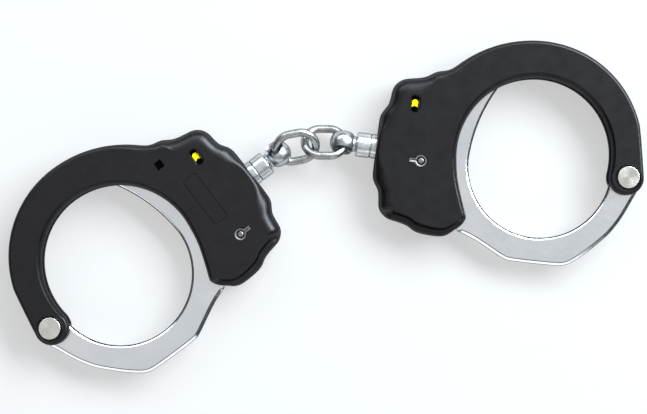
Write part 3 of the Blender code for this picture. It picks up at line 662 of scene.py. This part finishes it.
def cuff_finishes(tag, matrix):
    """Every finish that a cuff wears, laid in that cuff's frame."""
    return {
        "polymer_black": polymer_finish(f"moulded_polymer_{tag}", matrix),
        "case_polymer": case_finish(f"case_polymer_{tag}", matrix),
        "indicator_yellow": indicator_finish(f"indicator_yellow_{tag}", matrix),
        "bow_steel": bow_finish(f"bow_nickel_{tag}", matrix),
        "rivet_steel": turned_finish(f"rivet_steel_{tag}", matrix, *STEELS["rivet"], "Z"),
        "collar_steel": turned_finish(f"collar_steel_{tag}", matrix, *STEELS["collar"], "X"),
        "swivel_steel": satin_finish(f"eye_steel_{tag}", matrix, *STEELS["eye"]),
        "keyhole_steel": satin_finish(f"keyhole_steel_{tag}", matrix, *STEELS["keyhole"]),
        "lock_steel": satin_finish(f"lock_steel_{tag}", matrix, *STEELS["lock"]),
        "slot_shade_black": satin_finish(f"slot_shade_black_{tag}", matrix, *STEELS["slot_shade"]),
        "frame_steel": satin_finish(f"frame_steel_{tag}", matrix, *STEELS["frame"]),
        "spring_steel": satin_finish(f"spring_steel_{tag}", matrix, *STEELS["spring"]),
    }


FINISHES = {tag: cuff_finishes(tag, matrix) for tag, matrix in CUFFS.items()}


# ---------------------------------------------------------------- pieces of a cuff

def moulding_loops(side):
    """Loops of a moulding from its parting face up the wall and over the edge to the outer face."""
    edge = flowing(moulding_edge())
    outline = [(x, y) for x, y, *_ in edge]
    depths = [min(EDGE_SLOPE * math.dist((x, y), (fx, fy)), EDGE_DEPTH) for x, y, fx, fy, _ in edge]
    loops = [at(grown(outline, -SEAM), side * PARTING), at(outline, side * (PARTING + SEAM))]
    for k in range(len(STEP_INSET)):
        t = k / (len(STEP_INSET) - 1)
        bend = math.radians(90 * t)
        loop = []
        for (x, y, fx, fy, crisp), depth in zip(edge, depths):
            straight, rounded, hollow = 1 - abs(1 - crisp), max(0.0, 1 - crisp), max(0.0, crisp - 1)
            inset = rounded * (1 - math.cos(bend)) + straight * t + hollow * STEP_INSET[k]
            rise = rounded * math.sin(bend) + straight * t + hollow * STEP_RISE[k]
            height = FACE - depth * (1 - rise)
            loop.append((x + (fx - x) * inset, y + (fy - y) * inset, side * height))
        loops.append(loop)
    return loops


def moulding(tag, side):
    """Front (side 1) or rear (side -1) polymer moulding, with its pocket and its openings."""
    word = "front" if side > 0 else "rear"
    shell = lofted(f"moulding_{word}_{tag}", moulding_loops(side))
    key = KEY_FRONT if side > 0 else KEY_REAR
    head, shank = RIVET_HEAD + GAP, RIVET_SHANK + GAP
    mouth = [(COLLAR_R + GAP, COLLAR_START - BEYOND), (COLLAR_R + GAP, COLLAR_START + MOUTH_START),
             (COLLAR_R + MOUTH_FLARE, COLLAR_START + MOUTH_END)]
    pocket = [(FLANGE_R + GAP, COLLAR_START - BEYOND), (FLANGE_R + GAP, FLANGE_END + GAP)]
    tools = [
        prism("cut_sweep", circle((0, 0), BOW_SWEEP, 160), -PLATE_IN, PLATE_IN),
        prism("cut_pocket", grown(cheek_plate_outline(), GAP), -POCKET, POCKET),
        prism("cut_shank", circle((0, 0), shank), -FACE, FACE),
        opening("cut_head", circle((0, 0), head, 64), side, RIVET_RECESS, HEAD_CHAMFER),
        opening("cut_slot", oval(SLOT_AT, SLOT_HALF_WIDTH, SLOT_HALF_LENGTH), side, 0.0),
        opening("cut_key", keyhole(key, KEYHOLE_GAP), side, PLATE_OUT, KEYHOLE_CHAMFER),
        turned("cut_flange", pocket, axis="X"),
        turned("cut_collar", mouth, axis="X"),
    ]
    if side > 0:
        window = rounded_rectangle(WINDOW_AT, WINDOW_HALF, WINDOW_HALF, WINDOW_CORNER)
        panel = rounded_rectangle(PANEL_AT, *PANEL_HALF, PANEL_CORNER)
        tools.append(opening("cut_window", window, side, 0.0, WINDOW_CHAMFER))
        tools.append(framed("cut_panel", panel, grown(panel, -PANEL_GROOVE), FACE - PANEL_DEPTH,
                            FACE + BEYOND))
    edged(carved(shell, tools))
    fitted(shell, CUFFS[tag], f"cuff_{tag}", f"overmold_{word}_{tag}",
           FINISHES[tag]["polymer_black"])


def bow(tag):
    """The single strand: chamfered all round, with its ratchet teeth and its eye."""
    edge = bow_edge()
    outline = [(x, y) for x, y, _ in edge]
    widths = [width for _, _, width in edge]
    shares = [min(1.0, max(0.0, (width - INNER_CHAMFER) / (OUTER_CHAMFER - INNER_CHAMFER)))
              for width in widths]
    half = []
    for narrow, wide in zip(NARROW_CHAMFER, WIDE_CHAMFER):
        inset, drop = [[(n + share * (w - n)) * width for share, width in zip(shares, widths)]
                       for n, w in zip(narrow, wide)]
        loop = grown(outline, [-step for step in inset])
        half.append([(x, y, BOW_HALF - fall) for (x, y), fall in zip(loop, drop)])
    mirrored = [[(x, y, -z) for x, y, z in loop] for loop in reversed(half)]
    strand = lofted(f"bow_strand_{tag}", mirrored + half)
    carved(strand, [prism("cut_eye", circle((0, 0), RIVET_SHANK + TURNING_GAP), -FACE, FACE)])
    edged(strand, sharp=24)
    fitted(strand, CUFFS[tag], f"bow_{tag}", f"bow_{tag}", FINISHES[tag]["bow_steel"])


def pivot_rivet(tag):
    """Rivet with a flat turned head at each face."""
    head = [(RIVET_HEAD - inset, RIVET_TOP - drop) for inset, drop in RIVET_EDGE]
    head += [(RIVET_HEAD, RIVET_RECESS + GAP), (RIVET_SHANK, RIVET_RECESS + GAP)]
    profile = head + [(radius, -height) for radius, height in reversed(head)]
    rivet = edged(turned(f"rivet_{tag}", profile, 96))
    fitted(rivet, CUFFS[tag], f"cuff_{tag}", f"pivot_rivet_{tag}",
           FINISHES[tag]["rivet_steel"])


def swivel_collar(tag):
    """Turned collar with a groove and broken ends, and its flange inside the mouldings."""
    bore, chamfer, ease = STEM_R + TURNING_GAP, COLLAR_CHAMFER, 0.1
    end = [(COLLAR_R - 2 * chamfer, COLLAR_END), (COLLAR_R - chamfer, COLLAR_END - ease),
           (COLLAR_R - ease, COLLAR_END - chamfer), (COLLAR_R, COLLAR_END - 2 * chamfer)]
    half, shallow = GROOVE_HALF, COLLAR_R - GROOVE_DEPTH / 4
    groove = [(COLLAR_R, GROOVE_AT + half), (shallow, GROOVE_AT + half / 2),
              (COLLAR_R - GROOVE_DEPTH, GROOVE_AT),
              (shallow, GROOVE_AT - half / 2), (COLLAR_R, GROOVE_AT - half)]
    flange = [(COLLAR_R, FLANGE_END), (FLANGE_R, FLANGE_END), (FLANGE_R, COLLAR_START)]
    inside = [(STEM_POCKET_R, COLLAR_START), (STEM_POCKET_R, STEM_HEAD_END + GAP),
              (bore, STEM_HEAD_END + GAP)]
    profile = [(bore, COLLAR_END)] + end + groove + flange + inside
    collar = edged(turned(f"collar_{tag}", profile, 96, "X", closed=True), sharp=40)
    fitted(collar, CUFFS[tag], f"cuff_{tag}", f"swivel_collar_{tag}",
           FINISHES[tag]["collar_steel"])


def swivel_eye(tag):
    """Ball eye with a flared hole, on its stem."""
    neck = math.degrees(math.asin((NECK_R + NECK_FILLET) / BALL_R))
    ball = [(BALL_R * math.sin(math.radians(a)), BALL_AT + BALL_R * math.cos(math.radians(a)))
            for a in (0.5, 4, 9, 15, *range(21, 130, 6), 180 - neck)]
    root = ball[-1][1]
    stem = [(NECK_R + out, root - below) for out, below in NECK_ROOT]
    stem += [(NECK_R - inset, COLLAR_END + above) for inset, above in NECK_END]
    stem += [(STEM_R, COLLAR_END + COLLAR_GAP), (STEM_R, STEM_HEAD_END), (STEM_HEAD_R, STEM_HEAD_END),
             (STEM_HEAD_R, STEM_START)]
    eye = turned(f"ball_eye_{tag}", ball + stem, 96, "X")
    flare = [(EYE_R + (EYE_MOUTH_R - EYE_R) * (h / EYE_MOUTH_AT) ** 2, h)
             for h in (BALL_R + 0.4, 3.8, 3.2, 2.6, 2.0, 1.5, 1.0, 0.5)]
    hole = turned("cut_hole", flare + [(EYE_R, 0)] + [(r, -h) for r, h in reversed(flare)], 72)
    hinge = JOINTS["chain_link_1_swing" if tag == "a" else "swivel_b_swing"]
    across = (CUFFS[tag].to_3x3().inverted() @ Vector(hinge["axis"])).normalized()
    turn = across.to_track_quat("Z", "X").to_matrix().to_4x4()
    hole.matrix_world = Matrix.Translation((BALL_AT * MM, 0, 0)) @ turn
    edged(carved(eye, [hole]), EYE_BEVEL, sharp=28)
    fitted(eye, CUFFS[tag], f"swivel_{tag}", f"swivel_eye_{tag}",
           FINISHES[tag]["swivel_steel"])


def key_fittings(tag, side):
    """The key's post, and the funnel-edged liner of its keyhole."""
    word, centre = ("front", KEY_FRONT) if side > 0 else ("rear", KEY_REAR)
    radius, top = KEY_POST_R, KEY_POST_TOP
    profile = [(radius * share, side * (top - drop)) for share, drop in KEY_POST_DOME]
    post = edged(turned(f"post_{word}_{tag}", profile + [(radius, -side * PLATE_OUT)], 40))
    post.data.transform(Matrix.Translation((centre.x * MM, centre.y * MM, 0)))
    fitted(post, CUFFS[tag], f"cuff_{tag}", f"key_post_{word}_{tag}",
           FINISHES[tag]["keyhole_steel"])
    section = [(inset, LINER_TOP - drop) for inset, drop in LINER_EDGE]
    section = [(0.0, LINER_LOW), *section, (LINER_LIP, LINER_LOW)]
    loops = [at(keyhole(centre, -inset), side * height) for inset, height in section]
    liner = edged(lofted(f"keyhole_{word}_{tag}", loops, closed=True))
    fitted(liner, CUFFS[tag], f"cuff_{tag}", f"keyhole_liner_{word}_{tag}",
           FINISHES[tag]["keyhole_steel"])


def double_lock(tag):
    """The double lock slide: a steel bar with a yellow indicator that shows in both slots."""
    low, high, left = SLIDE.low, SLIDE.high, SLIDE.low.x + TAB_REACH
    outline = [(left, low.y), (high.x, low.y), (high.x, high.y), (left, high.y), (left, TAB_TOP),
               (low.x, TAB_TOP), (low.x, TAB_FOOT), (left, TAB_FOOT)]
    bar = edged(prism(f"lock_bar_{tag}", outline, -LOCK_HALF, LOCK_HALF), LOCK_BEVEL)
    # the bar's near-black colour is painted shade for the slots round the indicator
    fitted(bar, CUFFS[tag], f"double_lock_{tag}", f"double_lock_{tag}",
           FINISHES[tag]["slot_shade_black"])
    x, half = SLOT_AT[0], PAD_HALF_WIDTH
    pad = [(x - half, PAD_FOOT), (x + half, PAD_FOOT)] + arc(x, PAD_TOP - half, half, 0, 180, 16)
    block = prism(f"lock_indicator_{tag}", pad, low.z, high.z)
    carved(block, [prism("cut_bite", circle((x, PAD_FOOT), PAD_BITE_R), -FACE, FACE)])
    edged(block, LOCK_BEVEL)
    fitted(block, CUFFS[tag], f"double_lock_{tag}", f"double_lock_{tag}",
           FINISHES[tag]["indicator_yellow"])


def hidden_parts(tag):
    """The steel frame and the lockset keep their CAD shapes, with broken edges and a finish."""
    finishes = {"frame_plate_front": "frame_steel", "frame_plate_rear": "frame_steel",
                "frame_spacer": "frame_steel", "lockset_case": "case_polymer",
                "lockset_retainer": "case_polymer", "pawl": "lock_steel", "pawl_pin": "lock_steel",
                "double_lock_spring": "spring_steel"}
    for name, finish in finishes.items():
        part = frame["nodes"][f"{name}_{tag}"]
        for slot in part.material_slots:
            slot.material = FINISHES[tag][finish]
        edged(part, 0.0 if "spring" in name else HIDDEN_BEVEL)


def pawl_leaf(tag):
    """The pawl's leaf spring, which runs from its foot in the case to its tip on the pawl.
    It is a little shorter than in the CAD, so that the tip stays clear of the lock bar."""
    node, matrix = f"pawl_spring_{tag}", CUFFS[tag]
    box = local_box(node, matrix)
    foot, tip = (Vector((box.centre.x, y, 0)) * MM for y in (box.high.y, box.low.y))
    shorter = (Matrix.Translation(foot) @ Matrix.Scale(LEAF_LENGTH, 4, (0, 1, 0))
               @ Matrix.Translation(-foot))
    leaf = bpy.data.objects.new(f"pawl_leaf_{tag}", frame["nodes"][node].data.copy())
    bpy.context.scene.collection.objects.link(leaf)
    leaf.data.materials.clear()
    leaf.data.materials.append(FINISHES[tag]["spring_steel"])
    leaf.data.transform(matrix @ shorter @ matrix.inverted())
    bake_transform(leaf)
    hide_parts(node)


# ---------------------------------------------------------------- chain

def chain_link(node):
    """An oval link of round wire."""
    matrix = link_matrix(node)
    box = local_box(node, matrix)
    wire = box.size.z / 2
    bend = box.size.y / 2 - wire
    straight = (box.size.x - box.size.y) / 2
    half = arc(straight, 0, bend, -90, 90, 30)
    route = half + [(-x, -y) for x, y in half]
    loops = []
    for i, point in enumerate(route):
        ahead = Vector(route[(i + 1) % len(route)]) - Vector(route[i - 1])
        side = Vector((ahead.y, -ahead.x)).normalized()
        loop = []
        for k in range(WIRE_SIDES):
            a = 2 * math.pi * k / WIRE_SIDES
            reach = wire * math.cos(a)
            loop.append((point[0] + side.x * reach, point[1] + side.y * reach, wire * math.sin(a)))
        loops.append(loop)
    link = edged(lofted(node.replace("chain_", ""), loops, closed=True))
    steel = satin_finish(node.replace("chain", "steel"), matrix, *STEELS["link"], depth=0.05)
    fitted(link, matrix, node, node, steel)


# ---------------------------------------------------------------- studio

def softbox(name, watts, size, position, colour):
    """A rectangular soft light that faces the object."""
    data = bpy.data.lights.new(name, "AREA")
    data.shape = "RECTANGLE"
    data.size, data.size_y = size
    data.energy = watts
    data.color = colour
    light = bpy.data.objects.new(name, data)
    bpy.context.scene.collection.objects.link(light)
    light.location = position
    light.rotation_euler = Vector(position).to_track_quat("Z", "Y").to_euler()


def studio():
    """Pale floor, soft lights and a pale surround that darkens towards the horizon."""
    build = bmesh.new()
    bmesh.ops.create_grid(build, x_segments=1, y_segments=1, size=FLOOR_HALF)
    mesh = bpy.data.meshes.new("floor")
    build.to_mesh(mesh)
    build.free()
    floor = bpy.data.objects.new("floor", mesh)
    bpy.context.scene.collection.objects.link(floor)
    floor.location.z = CAD_BOX[0].z - FLOOR_GAP * MM
    paint = bpy.data.materials.new("floor_paint")
    paint.use_nodes = True
    shader = paint.node_tree.nodes["Principled BSDF"]
    shader.inputs["Base Color"].default_value = (FLOOR_GREY, FLOOR_GREY, FLOOR_GREY, 1.0)
    shader.inputs["Emission Color"].default_value = (*WHITE, 1.0)
    shader.inputs["Emission Strength"].default_value = FLOOR_GLOW
    shader.inputs["Roughness"].default_value = FLOOR_ROUGHNESS
    mesh.materials.append(paint)

    for name, setting in SOFTBOXES.items():
        softbox(name, *setting)

    world = bpy.data.worlds.new("surround")
    bpy.context.scene.world = world
    world.use_nodes = True
    tree = world.node_tree
    direction = tree.nodes.new("ShaderNodeTexCoord")
    axes = tree.nodes.new("ShaderNodeSeparateXYZ")
    ramp = tree.nodes.new("ShaderNodeValToRGB")
    while len(ramp.color_ramp.elements) < len(SURROUND):
        ramp.color_ramp.elements.new(0.5)
    for stop, (height, grey) in zip(ramp.color_ramp.elements, SURROUND):
        stop.position = height
        stop.color = (grey, grey, grey, 1.0)
    tree.links.new(direction.outputs["Generated"], axes.inputs["Vector"])
    tree.links.new(axes.outputs["Z"], ramp.inputs["Fac"])
    tree.links.new(ramp.outputs["Color"], tree.nodes["Background"].inputs["Color"])
    tree.nodes["Background"].inputs["Strength"].default_value = 1.0
    bpy.context.scene.view_settings.view_transform = "Standard"


def camera():
    """A long lens straight above, far enough away to frame both cuffs."""
    low, high = CAD_BOX
    aim = (low + high) / 2 + Vector((VIEW_SHIFT[0] * MM, VIEW_SHIFT[1] * MM, 0))
    data = bpy.data.cameras.new("camera")
    data.lens = LENS
    data.sensor_width = SENSOR
    data.clip_start, data.clip_end = CLIP_START, CLIP_END
    eye = bpy.data.objects.new("camera", data)
    bpy.context.scene.collection.objects.link(eye)
    eye.location = aim + Vector((0, 0, VIEW_WIDTH * MM * LENS / SENSOR))
    bpy.context.scene.camera = eye


for tag in CUFFS:
    for side in (1, -1):
        moulding(tag, side)
        key_fittings(tag, side)
    bow(tag)
    pivot_rivet(tag)
    swivel_collar(tag)
    swivel_eye(tag)
    double_lock(tag)
    hidden_parts(tag)
    pawl_leaf(tag)
for node in ("chain_link_1", "chain_link_2"):
    chain_link(node)
studio()
camera()
